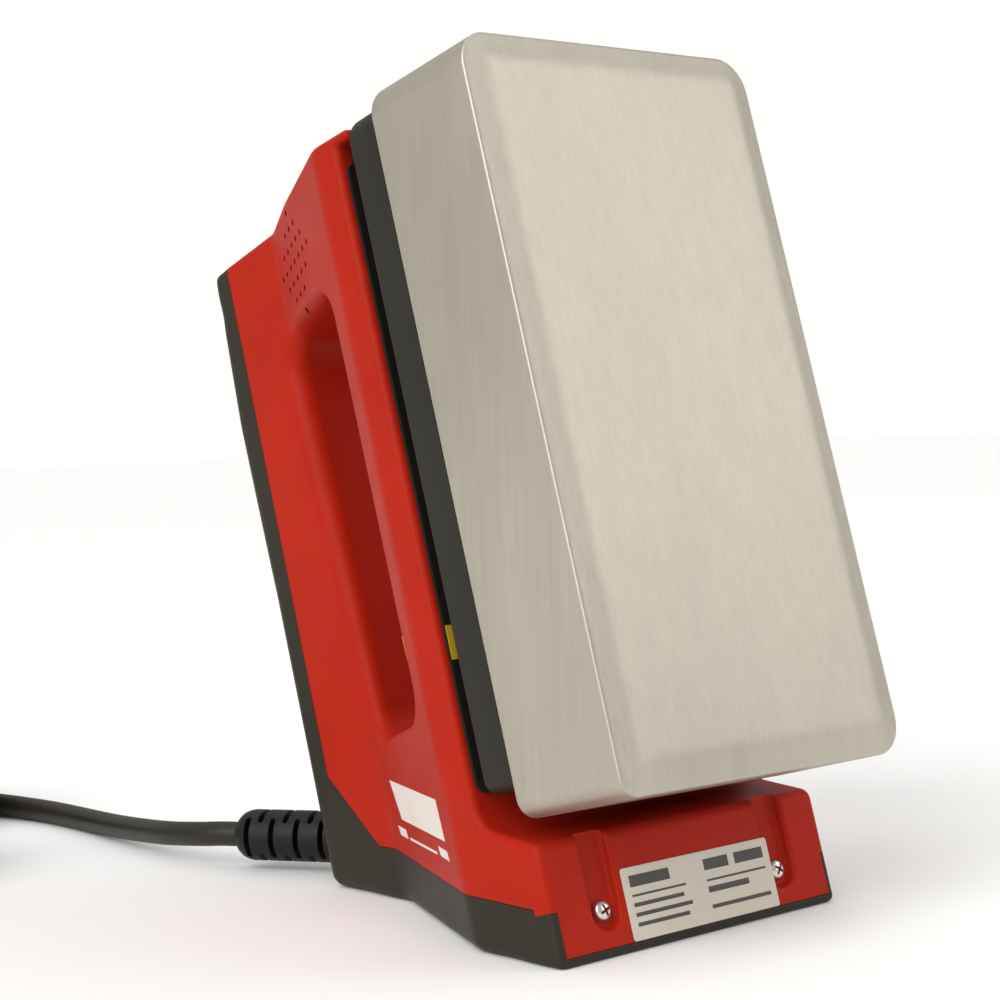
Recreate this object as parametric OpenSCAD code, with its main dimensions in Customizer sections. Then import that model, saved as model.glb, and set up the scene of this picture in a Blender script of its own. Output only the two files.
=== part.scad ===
// Waxing iron standing on its heel, sole to the front (-Y), grip to the back (+Y).
// Most parts are drawn in the iron's own frame: X across, Y from the sole towards
// the grip, Z from the heel towards the nose. stand() tips that frame onto the floor.

/* [Pose] */
// Angle by which the plate leans back when the iron stands on its heel
lean = 15; // [15:0.5:15]
// Depth of the heel's flat rest, front to back
rest_depth = 112; // [112:1:112]

/* [Sole plate] */
// Length of the plate, heel to nose
plate_len = 174; // [172:1:175]
// Width of the plate
plate_w = 94; // [92:1:96]
// Height of the raised working face over the side wall
crown = 1.5; // [1:0.1:2]
// Width of the bevel round the working face
bevel_w = 7; // [6:0.5:12]
// Radius of the plate's corners in plan
plate_r = 8.5; // [6:0.5:10]

/* [Heat shield] */
// Sheet thickness of the tray behind the plate
shield_wall = 1.2; // [1:0.1:1.6]
// Radius of the tray's corners in plan
shield_r = 8; // [6:0.5:10]

/* [Housing] */
// Half width of the housing next to the plate
wide_half = 46.6; // [46:0.1:46.8]
// Half width of the handle
grip_half = 20.8; // [20.5:0.1:22]
// Wall thickness of the mouldings
wall = 2.6; // [2.2:0.1:2.8]
// Corner radius of the handle opening
opening_r = 9; // [6:0.5:10]

/* [Controls] */
// Radius of each push button
button_r = 3.6; // [3.4:0.1:3.8]
// Distance between neighbouring buttons
button_pitch = 11; // [10.5:0.5:11.5]

/* [Cord] */
// Diameter of the mains cord
cord_d = 6.8; // [6.5:0.1:6.8]
// Diameter of the bend protector
guard_d = 13.8; // [13:0.1:14]

/* [Hidden] */
$fn = 48;

// Front edge of the heel's rest, in the iron's frame
front_y = 30.5;
front_z = -31.7;

// Depths (Y) of the layers from the sole to the back of the handle
plate_back = 33.5;
shield_back = 43.5;
floor_out = 48.5;
floor_in = floor_out + wall;
bridge_top = [65.5, 67.5];
grip_inner = [106, 112];
parting_y = 131.7;
back_y = 140.5;

// Heights (Z) along the iron
shield_z = [8.5, 170];
shield_gap = 0.2;
opening_z = [30, 137];
nose_z = 168;

// The side wall runs straight, then narrows to the handle between these two depths
taper_from = 57.2;
taper_to = 110;
mark_y = [60, 106];
mark_thick = 0.2;
film_gap = 0.01;
patch_w = 14.4;
patch_z = [48.3, 56];
board_thick = 0.8;
board_front = floor_out - board_thick;
board_span = [10, 161];
label_x = 1.3;

// Vent holes
vent_at = [92.4, 152];
vent_pitch = [4.87, 4.2];
vent_lean = 0.27;
vent_r = 0.75;

// Fixings
post_x = 36;
post_z = [20, 85, 150];
post_r = 4.5;
bush_r = 6;
m4_r = 2;
m3_r = 1.5;
slack = 0.1;
foot_screw_x = 29.5;
foot_screw_z = -21;
channel_w = 8.5;
channel_floor = 33;
cover_screw_z = [52, 112];
cover_screw_seat = 136.5;

// Heating element: a U of tube, half sunk in the back of the plate
element_r = 4;
element_x = 24;
element_z = [26, 126];
element_top = 58;
clamp_z = [55, 105];
clamp_top = 39;
clamp_screw_x = 7;
sensor_z = 85;
cutout_z = 36;

// Controls on the upper end of the back cover
button_z = 131;
button_reach = 142;
window_z = 150;
window_w = 27;
window_h = 15;
function window_span(d = 0) = [window_z - window_h / 2 - d, window_z + window_h / 2 + d];
board_y = [124, 125.6];
board_z = [119, 162];

// Mains electronics in the heel
power_y = [67, 68.6];
power_z = [-8, 22];
power_half = 36;

// Bend protector, in the standing frame
exit_at = [0, 61.1, 9.35];
exit_turn = 25.4;
exit_drop = 0.6;
guard_len = 42.1;
guard_root = 13;
clamp_mid = guard_root + 5.5;
cord_clamp_x = 6.2;
slot_first = 37;
slot_pitch = 3.7;
slot_count = 9;
slot_w = 1.6;
slot_reach = 5.4;
guard_core = 3.7;

// Route of the cord over the floor, from the bend protector to the coil
cord_route = [
    [-18.06, 99.13, 8.9], [-20.4, 104.4, 8.8], [-22.2, 110.6, 8.3], [-23, 118.5, 7.6], [-22.8, 127.5, 6.8],
    [-21.2, 138, 5.9], [-19.2, 150, 5], [-17, 163, 4.2], [-15, 176, 3.7], [-13.6, 190, 3.5],
    [-13.2, 204, 3.5], [-14, 218, 3.5], [-15.8, 235, 3.5], [-18, 252, 3.5]
];
coil_at = [-63, 252];
coil_mid_r = 38;
coil_width = 20.8;
coil_height = 20.6;
// Route of the cord from the top of the coil to the plug
lead_route = [
    [-105.3, 236.6, 17.2], [-101.6, 226, 17.6], [-97.6, 214.5, 18], [-94.2, 203.5, 18.4], [-93, 193, 18.5]
];
plug_r = 18.5;
plug_len = 40;
pin_len = 19;
pin_r = 2.4;
pin_gap = 9.5;

// Half width of the side wall at depth y
function side_half(y) = grip_half + (wide_half - grip_half)
    * (1 - min(1, max(0, (y - taper_from) / (taper_to - taper_from))));

// Half of the housing's plan outline between two depths, moved in by d
function side_line(y0, y1, d) = [
    for (y = [y0, taper_from, taper_to, y1])
        if (y == y0 || y == y1 || (y > y0 && y < y1)) [side_half(y) - d, y]
];
function flipped(pts) = [for (i = [len(pts) - 1:-1:0]) [-pts[i][0], pts[i][1]]];
function plan(y0, y1, d = 0) = concat(side_line(y0, y1, d), flipped(side_line(y0, y1, d)));

// Depth of the handle's inner face at height z
function grip_face(z) = grip_inner[0]
    + (grip_inner[1] - grip_inner[0]) * (z - opening_z[0]) / (opening_z[1] - opening_z[0]);

// Height of the floor in the iron's frame, at depth y
function floor_z(y) = front_z + (y - front_y) * tan(lean);

// A polygon with each corner rounded to radius r
function unit(v) = v / norm(v);
function corner(a, b, c, r, n = 6) =
    let (u = unit(a - b), v = unit(c - b), half = acos(u * v) / 2,
         m = b + unit(u + v) * r / sin(half), reach = r / tan(half),
         s = b + u * reach - m, e = b + v * reach - m)
    [for (i = [0:n]) m + unit(s * (n - i) + e * i) * r];
function rounded(pts, r) = [
    for (i = [0:len(pts) - 1])
        each corner(pts[(i + len(pts) - 1) % len(pts)], pts[i], pts[(i + 1) % len(pts)], r)
];

// Tips the iron's frame back so that the heel's rest lies on the floor
module stand()
    translate([0, -rest_depth / 2, 0]) rotate([-lean, 0, 0]) translate([0, -front_y, -front_z]) children();

// Sweeps a (Y, Z) outline across X, centred
module across(width)
    translate([-width / 2, 0, 0]) rotate([90, 0, 90]) linear_extrude(width) children();

// A cylinder along Y
module along_y(r, y0, y1, at = [0, 0])
    translate([at[0], y0, at[1]]) rotate([-90, 0, 0]) cylinder(r = r, h = y1 - y0);

// A box given by its lowest and highest corner
module block(low, high) translate(low) cube(high - low);

module at_both(x) for (side = [-1, 1]) translate([side * x, 0, 0]) children();

module at_posts() at_both(post_x) for (z = post_z) translate([0, 0, z]) children();

module rounded_rect(w, h, r) {
    square([w - 2 * r, h], center = true);
    square([w, h - 2 * r], center = true);
    for (x = [-1, 1], y = [-1, 1]) translate([x * (w / 2 - r), y * (h / 2 - r)]) circle(r);
}

// A rounded rectangle in X and Z, from y0 to y1
module slab(w, z, r, y0, y1)
    translate([0, y1, (z[0] + z[1]) / 2]) rotate([90, 0, 0])
        linear_extrude(y1 - y0) rounded_rect(w, z[1] - z[0], r);

// ---- plate, heating and heat shield

module element_path(r) {
    at_both(element_x) translate([0, plate_back, element_z[0]]) {
        cylinder(r = r, h = element_z[1] - element_z[0]);
        sphere(r);
    }
    translate([0, plate_back, element_z[1]]) rotate([90, 0, 0])
        rotate_extrude(angle = 180) translate([element_x, 0]) circle(r);
}

module element_risers(r) at_both(element_x) along_y(r, plate_back, element_top, [0, element_z[0]]);

module sole_plate() color("#b4ab98") stand() difference() {
    intersection() {
        slab(plate_w, [0, plate_len], plate_r, -crown, plate_back);
        linear_extrude(plate_len) polygon([
            [-plate_w / 2, 0], [bevel_w - plate_w / 2, -crown], [plate_w / 2 - bevel_w, -crown],
            [plate_w / 2, 0], [plate_w / 2, plate_back], [-plate_w / 2, plate_back]]);
        across(plate_w) polygon([
            [0, 0], [-crown, bevel_w], [-crown, plate_len - bevel_w], [0, plate_len],
            [plate_back, plate_len], [plate_back, 0]]);
    }
    element_path(element_r + slack / 2);
    at_posts() along_y(m4_r + slack / 2, plate_back - 12, plate_back + 1);
    for (z = clamp_z) at_both(clamp_screw_x)
        along_y(m3_r + slack / 2, plate_back - 9, plate_back + 1, [0, z]);
    along_y(2.6, 9, plate_back + 1, [0, sensor_z]);
}

module heating_element() color("#8d8780") stand() {
    element_path(element_r);
    element_risers(element_r);
    at_both(element_x) along_y(1.6, element_top - 1, element_top + 7, [0, element_z[0]]);
}

module element_clamps() color("#9a9a98") stand() difference() {
    for (z = clamp_z) block([-34, plate_back, z - 5], [34, clamp_top, z + 5]);
    for (z = clamp_z) {
        block([-13, plate_back + 3, z - 6], [13, clamp_top + 1, z + 6]);
        at_both(clamp_screw_x) along_y(m3_r + slack / 2, plate_back - 1, clamp_top, [0, z]);
    }
    element_path(element_r + slack / 2);
}

module clamp_screws() color("#c4c4c4") stand() for (z = clamp_z) at_both(clamp_screw_x) {
    along_y(m3_r, plate_back - 8, plate_back + 3, [0, z]);
    along_y(2.8, plate_back + 3, plate_back + 5.2, [0, z]);
}

module temperature_sensor() color("#cfcabf") stand() {
    along_y(2.5, 9.5, plate_back + 3, [0, sensor_z]);
    at_both(0.9) along_y(0.5, plate_back + 3, plate_back + 5.5, [0, sensor_z]);
}

module thermal_cutout() color("#e3ddcf") stand() {
    along_y(8, plate_back, plate_back + 2.4, [0, cutout_z]);
    along_y(6.6, plate_back + 2.4, plate_back + 5.8, [0, cutout_z]);
}

module insulation_mat() color("#e9e6dc") stand() difference() {
    slab(85, [12, 163], 6, plate_back + 6, shield_back - shield_wall - 0.2);
    at_posts() along_y(post_r + 0.3, plate_back, shield_back);
    element_risers(element_r + 0.4);
}

module heat_shield() color("#43423f") stand() difference() {
    slab(plate_w - 2 * shield_gap, shield_z, shield_r, plate_back, shield_back);
    slab(plate_w - 2 * shield_gap - 2 * shield_wall, [shield_z[0] + shield_wall, shield_z[1] - shield_wall],
         shield_r - shield_wall, plate_back - 1, shield_back - shield_wall);
    at_posts() along_y(m4_r + 0.2, plate_back, shield_back + 1);
    element_risers(element_r + 0.4);
}

module plate_posts() color("#a9a9a7") stand() at_posts() difference() {
    along_y(post_r, plate_back, shield_back - shield_wall);
    along_y(m4_r + slack / 2, plate_back - 1, shield_back);
}

module spacer_bushes() color("#1c1b1a") stand() at_posts() difference() {
    along_y(bush_r, shield_back, floor_out);
    along_y(m4_r + 0.2, shield_back - 1, floor_out + 1);
}

module housing_screws() color("#c4c4c4") stand() at_posts() {
    along_y(m4_r, plate_back - 11, floor_in);
    difference() {
        along_y(3.6, floor_in, floor_in + 2.6);
        block([-3, floor_in + 1.4, -0.5], [3, floor_in + 3, 0.5]);
    }
}

// A black board that closes the front of the housing behind the plate
module base_board() color("#1c1b1a") stand() difference() {
    slab(89, board_span, 3, board_front, floor_out);
    at_posts() along_y(bush_r + slack, board_front - 1, floor_out + 1);
    element_risers(element_r + 0.4);
}

// ---- housing

// Everything inside the outer skin of housing and back cover
module inner_space() intersection() {
    translate([0, 0, floor_z(0)]) linear_extrude(nose_z + 60)
        polygon(plan(channel_floor + wall, back_y - wall, wall));
    difference() {
        across(2 * wide_half) polygon([
            [channel_floor + wall, floor_z(channel_floor + wall) + wall * 1.05],
            [channel_floor + wall, -5.5], [44, -2.2], [48.6, 2], [floor_in, 9],
            [floor_in, nose_z - wall], [92, nose_z - wall], [back_y - wall, 161],
            [back_y - wall, floor_z(back_y - wall) + wall * 1.05]]);
        across(2 * wide_half + 1) opening_outline(wall);
    }
}

// The handle opening, grown by d
module opening_outline(d) polygon(rounded([
    [bridge_top[0] - d, opening_z[0] - d], [grip_inner[0] + d, opening_z[0] - d],
    [grip_inner[1] + d, opening_z[1] + d], [bridge_top[1] - d, opening_z[1] + d]], opening_r + d));

// Rows of small holes, set in a diamond on each side of the nose
module vents() for (row = [-3:3], col = [-3:3])
    if (abs(row) + abs(col) < 4)
        translate([0, vent_at[0] + vent_pitch[0] * col - vent_lean * row, vent_at[1] + vent_pitch[1] * row])
        rotate([0, 90, 0]) cylinder(r = vent_r, h = 2 * wide_half, center = true, $fn = 16);

// One long boss per cover screw, from the inner wall of the handle
module cover_bosses() for (z = cover_screw_z) difference() {
    along_y(3.6, grip_inner[0] + wall, parting_y, [0, z]);
    along_y(m3_r + slack / 2, parting_y - 12, parting_y + 1, [0, z]);
}

module main_housing() color("#c22a1e") stand() {
    difference() {
        intersection() {
            translate([0, 0, front_z]) linear_extrude(nose_z - front_z) polygon(plan(front_y, parting_y));
            across(2 * wide_half + 1) polygon([
                [front_y, -29.4], [front_y, -6.5], [31.6, -4.2], [38, -1], [43.6, 1], [46.8, 4.4],
                [floor_out, 9.5], [floor_out, nose_z - wall], [44, nose_z - wall], [44, nose_z],
                [92, nose_z], [parting_y, 164.2], [parting_y, 25.4], [116.5, 4.9],
                [57.9, -11], [channel_floor + wall, -17.6], [channel_floor + wall, -28.4]]);
        }
        inner_space();
        across(2 * wide_half + 1) opening_outline(0);
        vents();
        at_posts() along_y(m4_r + 0.2, floor_out - 1, floor_in + 1);
        element_risers(element_r + 0.4);
        at_both(foot_screw_x) {
            block([-channel_w / 2, front_y - 1, foot_screw_z], [channel_w / 2, channel_floor, 0]);
            along_y(channel_w / 2, front_y - 1, channel_floor, [0, foot_screw_z]);
            along_y(m3_r + slack / 2, front_y, channel_floor + 8, [0, foot_screw_z]);
        }
        at_both(wide_half) block([-2.2, front_y - 1, front_z], [2.2, channel_floor + wall + 1, -19]);
    }
    cover_bosses();
}

module heel_bosses() at_both(foot_screw_x) {
    along_y(4.2, channel_floor + wall, 44, [0, foot_screw_z]);
    block([-2, channel_floor + wall, floor_z(44) + 1], [2, 44, foot_screw_z]);
}

module back_cover() color("#2f302c") difference() {
    stand() union() {
        difference() {
            intersection() {
                translate([0, 0, front_z]) linear_extrude(nose_z - front_z) {
                    polygon(plan(front_y, parting_y + 3));
                    translate([0, back_y - 10]) rounded_rect(2 * grip_half, 20, 5);
                }
                across(2 * wide_half + 1) polygon([
                    [channel_floor + wall, -17.6], [57.9, -11], [116.5, 4.9],
                    [parting_y, 25.4], [parting_y, 164.2], [137.4, 163.4], [back_y, 152],
                    [back_y, floor_z(back_y) + 3], [back_y - 2, floor_z(back_y - 2)],
                    [channel_floor + wall, floor_z(channel_floor + wall)]]);
            }
            inner_space();
        }
        at_both(wide_half - 1.1)
            block([-1.1, front_y, floor_z(front_y) + 1], [1.1, channel_floor + wall, -19]);
        across(2 * wide_half) polygon([
            [front_y, -29.4], [channel_floor + wall, -28.4],
            [channel_floor + wall, floor_z(channel_floor + wall)], [front_y, front_z]]);
        heel_bosses();
    }
    at_exit(-guard_root) cylinder(r = guard_d / 2 + slack, h = guard_root + 8);
    stand() {
        for (i = [-1:1])
            along_y(button_r + 0.15, parting_y, back_y + 1, [i * button_pitch, button_z]);
        slab(window_w + 0.2, window_span(0.1), 1.6, parting_y, back_y + 1);
        for (z = cover_screw_z) {
            along_y(m3_r + 0.2, parting_y - 1, back_y + 1, [0, z]);
            along_y(3.4, cover_screw_seat + wall - 1, back_y + 1, [0, z]);
        }
        at_both(foot_screw_x)
            along_y(m3_r + slack / 2, channel_floor, channel_floor + 9, [0, foot_screw_z]);
    }
}

// A raised screw head with a cross recess, facing -Y, seated at y
module pan_head(r, y) difference() {
    intersection() {
        along_y(r, y - 2, y);
        translate([0, y + r - 2, 0]) sphere(r * 1.28);
    }
    for (turn = [0, 90]) rotate([0, turn, 0]) block([-0.45, y - 3, -r * 0.6], [0.45, y - 1, r * 0.6]);
}

module foot_screws() color("#c9c8c4") stand() at_both(foot_screw_x) translate([0, 0, foot_screw_z]) {
    pan_head(2.5, channel_floor);
    along_y(m3_r, channel_floor, channel_floor + 9);
}

module cover_screws() color("#c9c8c4") stand() for (z = cover_screw_z) translate([0, 0, z]) {
    along_y(m3_r, parting_y - 11, cover_screw_seat + wall - 1);
    mirror([0, 1, 0]) pan_head(3, -(cover_screw_seat + wall - 1));
}

module rating_label() color("#d9d4c4") stand() translate([label_x, 0, 0])
    slab(49.5, [-29.3, -12.9], 0.5, front_y - 0.25, front_y);

// Plain pale bars printed on each side, following the side wall: outlines in (Y, Z)
mark_bars = [
    [[103, 20], [98.6, 9.7], [64.4, 1.5], [65.4, 11.4]],
    [[103.2, 8.6], [102.4, 6.2], [96.2, 4.6], [96.8, 7]],
    [[71, 1], [70.3, -1.4], [64, -3.2], [64.5, -0.8]]
];
module side_marks() color("#e6e0d8") stand() for (side = [0, 1], bar = mark_bars) mirror([side, 0, 0])
    intersection() {
        across(3 * wide_half) polygon(bar);
        translate([0, 0, -10]) linear_extrude(40) polygon([
            for (p = [[0, mark_thick], [1, mark_thick], [1, 0], [0, 0]])
                [side_half(mark_y[p[0]]) + film_gap + p[1], mark_y[p[0]]]]);
    }

// One plain patch inside the handle, one on the base board
module caution_patches() color("#d9b021") stand() {
    across(patch_w) polygon([for (p = [[0, mark_thick], [0, 0], [1, 0], [1, mark_thick]])
        [grip_face(patch_z[p[0]]) - film_gap - p[1], patch_z[p[0]]]]);
    block([-44.2, board_front - mark_thick, 41], [-39, board_front, 49]);
}

// ---- controls

module display_window() color("#9fb0a8") stand() {
    slab(window_w, window_span(), 1.5, back_y - wall - 0.2, back_y - 0.3);
    slab(window_w + 4, window_span(1.5), 1.5, back_y - wall - 1.4, back_y - wall - 0.1);
}

module display_module() color("#56605a") stand() block(
    [-14.5, board_y[1], window_z - 9], [14.5, back_y - wall - 1.5, window_z + 9]);

module control_board() color("#2c6b3f") stand() difference() {
    block([-17, board_y[0], board_z[0]], [17, board_y[1], board_z[1]]);
    at_both(14.5) for (z = [board_z[0] + 2.5, board_z[1] - 2.5])
        along_y(1.2, board_y[0] - 1, board_y[1] + 1, [0, z]);
}

module tact_switches() color("#3a3a3a") stand() for (i = [-1:1]) translate([i * button_pitch, 0, button_z]) {
    block([-3, board_y[1], -3], [3, board_y[1] + 3.4, 3]);
    along_y(1.6, board_y[1] + 3.4, board_y[1] + 4.2);
}

module beeper() color("#232323") stand() along_y(6, board_y[0] - 6, board_y[0], [0, 150]);

module button(i) stand() translate([i * button_pitch, 0, button_z]) {
    along_y(button_r, back_y - wall - 1, button_reach);
    along_y(button_r + 1, back_y - wall - 2, back_y - wall - 0.3);
    along_y(1.5, board_y[1] + 5.4, back_y - wall - 1.5);
}
module button_minus() color("#c9c6bd") button(-1);
module button_set() color("#c23a2a") button(0);
module button_plus() color("#c9c6bd") button(1);

// Wires from the control board down the handle to the power board
module handle_harness() color("#c8c2b4") stand() tube([
    [-10, board_y[0], 128], [-10, 121.5, 128], [-10, 119.5, 125], [-10, 119, 120], [-10, 119, 34],
    [-10, 117, 26], [-10, 112, 21], [-10, 100, 15], [-10, 90, 13], [-10, power_y[1], 13]],
    1.8, 8, [1, 0, 0]);

// ---- mains side

module power_board() color("#2c6b3f") stand()
    block([-power_half, power_y[0], power_z[0]], [power_half, power_y[1], power_z[1]]);

module terminal_block() color("#e5e1d6") stand() difference() {
    block([-31, power_y[1], -6], [-13, power_y[1] + 12, 8]);
    for (x = [-27.5, -22, -16.5]) along_y(1.8, power_y[1] + 5, power_y[1] + 14, [x, 1]);
}

module triac() color("#1f1f1f") stand() block([6, power_y[1], 0], [16, power_y[1] + 15, 4.4]);

module heat_sink() color("#a6a8a9") stand() {
    block([3, power_y[1], 4.5], [27, power_y[1] + 18, 6.5]);
    for (x = [3:4.4:26]) block([x, power_y[1], 6.4], [x + 1.6, power_y[1] + 18, 15]);
}

module fuse() color("#d9dde0") stand() translate([-4, power_y[1] + 2.8, -5]) {
    cylinder(r = 2.6, h = 20);
    for (z = [-1, 15]) translate([0, 0, z]) cylinder(r = 2.8, h = 6);
}

module element_leads() color("#d8d2c2") stand() at_both(element_x) tube([
    [0, element_top + 7, element_z[0]], [0, 71, element_z[0]], [0, 74, 25], [0, 75, 22], [0, 74, 19],
    [0, 71.5, 18], [0, power_y[1], 18]], 1.3, 8, [1, 0, 0]);

module cord_clamp() color("#26272a") difference() {
    at_exit(-guard_root - 9) translate([-9, -5.5, 0]) cube([18, 11, 7]);
    at_exit(-guard_root - 10) cylinder(r = cord_d / 2, h = 9);
    at_exit(-clamp_mid) at_both(cord_clamp_x) rotate([90, 0, 0])
        cylinder(r = m3_r + slack / 2, h = 20, center = true);
}

module cord_clamp_screws() color("#c4c4c4") at_exit(-clamp_mid) at_both(cord_clamp_x) rotate([90, 0, 0]) {
    cylinder(r = m3_r, h = 11, center = true);
    translate([0, 0, 5.5]) cylinder(r = 2.5, h = 2);
}

module inner_cord() color("#1d1c1a") at_exit(-guard_root - 14) cylinder(r = cord_d / 2, h = 14);

// ---- mains cord

// The axis of the bend protector, from a distance s along it (negative is inside)
module at_exit(s)
    translate(exit_at) rotate([0, 0, exit_turn]) rotate([-90 - exit_drop, 0, 0])
        translate([0, 0, s]) children();

module cord_guard() color("#26231f") at_exit(-guard_root) {
    difference() {
        rotate_extrude() polygon([
            [0, 0], [guard_d / 2, 0], [guard_d / 2, guard_root + guard_len - 4],
            [guard_d / 2 - 1.2, guard_root + guard_len - 1.2], [guard_d / 2 - 3, guard_root + guard_len],
            [0, guard_root + guard_len]]);
        for (i = [0:slot_count - 1])
            translate([0, 0, guard_root + slot_first - slot_pitch * i]) rotate([0, 0, 90 * (i % 2)])
                cube([guard_d + 2, 2 * slot_reach, slot_w], center = true);
    }
    cylinder(r = guard_core, h = guard_root + guard_len - 1);
}

// A tube swept along a route, its rings square to it; up is any direction it never takes
function cross_at(pts, i, up) = let (
    a = pts[max(i - 1, 0)], b = pts[min(i + 1, len(pts) - 1)], t = unit(b - a),
    side = unit(cross(t, up)), top = cross(side, t)) [side, top];
module tube(pts, r, sides = 10, up = [0, 0, 1]) {
    rings = [for (i = [0:len(pts) - 1]) let (c = cross_at(pts, i, up))
        for (k = [0:sides - 1]) pts[i] + r * (cos(360 * k / sides) * c[0] + sin(360 * k / sides) * c[1])];
    walls = [for (i = [0:len(pts) - 2], k = [0:sides - 1]) let (n = (k + 1) % sides)
        [i * sides + k, i * sides + n, (i + 1) * sides + n, (i + 1) * sides + k]];
    polyhedron(rings, concat([[for (k = [sides - 1:-1:0]) k]], walls,
        [[for (k = [0:sides - 1]) (len(pts) - 1) * sides + k]]));
}

module cord_tube() color("#26231f") tube(cord_route, cord_d / 2);

module cord_coil() color("#26231f") translate([coil_at[0], coil_at[1], 0.1]) rotate_extrude()
    translate([coil_mid_r - coil_width / 2, 0]) square([coil_width, coil_height]);

module cord_lead() color("#26231f") tube(lead_route, cord_d / 2);

// The plug's own axis, from its cord end towards its pins
module at_plug() translate(lead_route[len(lead_route) - 1]) rotate([90, 0, 0]) children();

module plug_body() color("#232220") at_plug() difference() {
    rotate_extrude() polygon([
        [0, 0], [6, 0], [7, 6], [9, 10], [15, 14], [17.5, 17], [plug_r, 21], [plug_r, plug_len],
        [0, plug_len]]);
    for (turn = [0, 180]) rotate([0, 0, turn]) translate([plug_r - 3, -4, plug_len - 17]) cube([4, 8, 18]);
}

module plug_pins() color("#c9c6bd") at_plug() at_both(pin_gap) {
    translate([0, 0, plug_len]) cylinder(r = pin_r, h = pin_len - 1);
    translate([0, 0, plug_len + pin_len - 1]) cylinder(r1 = pin_r, r2 = pin_r - 0.8, h = 1);
}

module plug_earth_clips() color("#c9c6bd") at_plug() for (turn = [0, 180]) rotate([0, 0, turn])
    translate([plug_r - 3, -2.5, plug_len - 17]) cube([1, 5, 16]);

sole_plate();
heating_element();
element_clamps();
clamp_screws();
temperature_sensor();
thermal_cutout();
insulation_mat();
heat_shield();
plate_posts();
spacer_bushes();
housing_screws();
base_board();
main_housing();
back_cover();
foot_screws();
cover_screws();
rating_label();
side_marks();
caution_patches();
display_window();
display_module();
control_board();
tact_switches();
beeper();
button_minus();
button_set();
button_plus();
handle_harness();
power_board();
terminal_block();
triac();
heat_sink();
fuse();
element_leads();
cord_clamp();
cord_clamp_screws();
inner_cord();
cord_guard();
cord_tube();
cord_coil();
cord_lead();
plug_body();
plug_pins();
plug_earth_clips();
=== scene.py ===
"""A waxing iron standing on its heel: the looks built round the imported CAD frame.

Shapes are drawn in the iron's own frame, in millimetres: X across, Y from the sole
towards the grip, Z from the heel towards the nose. standing() tips them onto the floor.
"""
import math

import bmesh
import bpy
import numpy as np
from mathutils import Matrix, Vector


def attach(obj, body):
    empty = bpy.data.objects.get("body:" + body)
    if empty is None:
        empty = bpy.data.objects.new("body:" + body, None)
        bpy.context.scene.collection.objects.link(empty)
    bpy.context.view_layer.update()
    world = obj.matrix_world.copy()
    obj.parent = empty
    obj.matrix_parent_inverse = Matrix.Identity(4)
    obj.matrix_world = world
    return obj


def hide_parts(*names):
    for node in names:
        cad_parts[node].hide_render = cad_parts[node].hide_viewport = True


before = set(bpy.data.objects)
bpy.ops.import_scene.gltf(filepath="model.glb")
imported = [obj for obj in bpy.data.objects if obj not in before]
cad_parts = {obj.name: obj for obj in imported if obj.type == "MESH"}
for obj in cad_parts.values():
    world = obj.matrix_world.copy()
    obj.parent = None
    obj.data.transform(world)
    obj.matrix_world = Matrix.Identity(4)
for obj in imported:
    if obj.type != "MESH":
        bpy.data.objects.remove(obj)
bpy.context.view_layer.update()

MM = 0.001
BODY = "iron"

# The standing pose: the heel's front edge lies on the floor, and the plate leans back.
LEAN = math.radians(15)
FRONT_Y = 30.5
FRONT_Z = -31.7
REST_FRONT = -56.0

# Depths (Y) and heights (Z) that several pieces share, as in the CAD model.
PLATE_W = 94.0
PLATE_LEN = 174.0
PLATE_RADII = (5.0, 8.5, 8.5, 8.5)
LOW_SIDE_RISE = 1.2
LOW_BACK_RISE = 0.7
PLATE_BACK = 33.5
SHIELD_BACK = 43.5
SHIELD_Z = (8.5, 170.0)
SHIELD_RADII = (4.0, 4.0, 6.5, 6.5)
BOARD_FRONT = 47.7
FLOOR_OUT = 48.5
WALL = 2.6
PARTING_Y = 131.7
BACK_Y = 140.5
NOSE_Z = 168.0
WIDE_HALF = 46.6
GRIP_HALF = 20.8
TAPER_FROM = 57.2
TAPER_TO = 110.0
TAPER_SLOPE = (WIDE_HALF - GRIP_HALF) / (TAPER_TO - TAPER_FROM)
OPENING = [(65.5, 30.0), (106.0, 30.0), (112.0, 137.0), (67.5, 137.0)]
OPENING_R = 9.0
FOOT_SCREW_X = 29.5
FOOT_SCREW_Z = -21.0
CHANNEL_FLOOR = 33.0
COVER_SCREW_Z = (52.0, 112.0)
BUTTON_Z = 131.0
BUTTON_PITCH = 11.0
WINDOW_Z = 150.0
CORD_D = 6.8
GUARD_D = 13.8
GUARD_BORE = GUARD_D + 0.3
VENT_AT = (92.4, 152.0)
VENT_PITCH = (4.87, 4.2)
VENT_LEAN = 0.27
VENT_R = 0.8
VENT_ROWS = 3
CHANNEL_HALF = 4.25
CHANNEL_TOP = 6.0
SCREW_R = 1.5
FOOT_HEAD_R = 2.5
COVER_SEAT = 138.1
BUTTON_R = 3.6
BUTTON_TOP = 142.0
WINDOW_W = 27.0
WINDOW_H = 15.0
LABEL_X = 1.3
LABEL_W = 49.5
LABEL_Z = (-29.3, -12.9)
PATCH_HALF = 7.2
SEAM = 0.07
SKIN_STEP = 0.8
SKIN_SHARE = 0.22

# The white room: its strength as light on the object, and as seen behind it
ROOM_LIGHT = 0.5
BACKDROP = 1.02

# The photograph's viewpoint, in metres, and its lens on a 36 mm sensor
CAMERA_AT = (-0.3950, -0.4208, 0.1212)
CAMERA_FORWARD = (0.6756, 0.7363, -0.0366)
CAMERA_UP = (0.0496, 0.0040, 0.9988)
LENS = 84.5


# ---- placing

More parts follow.
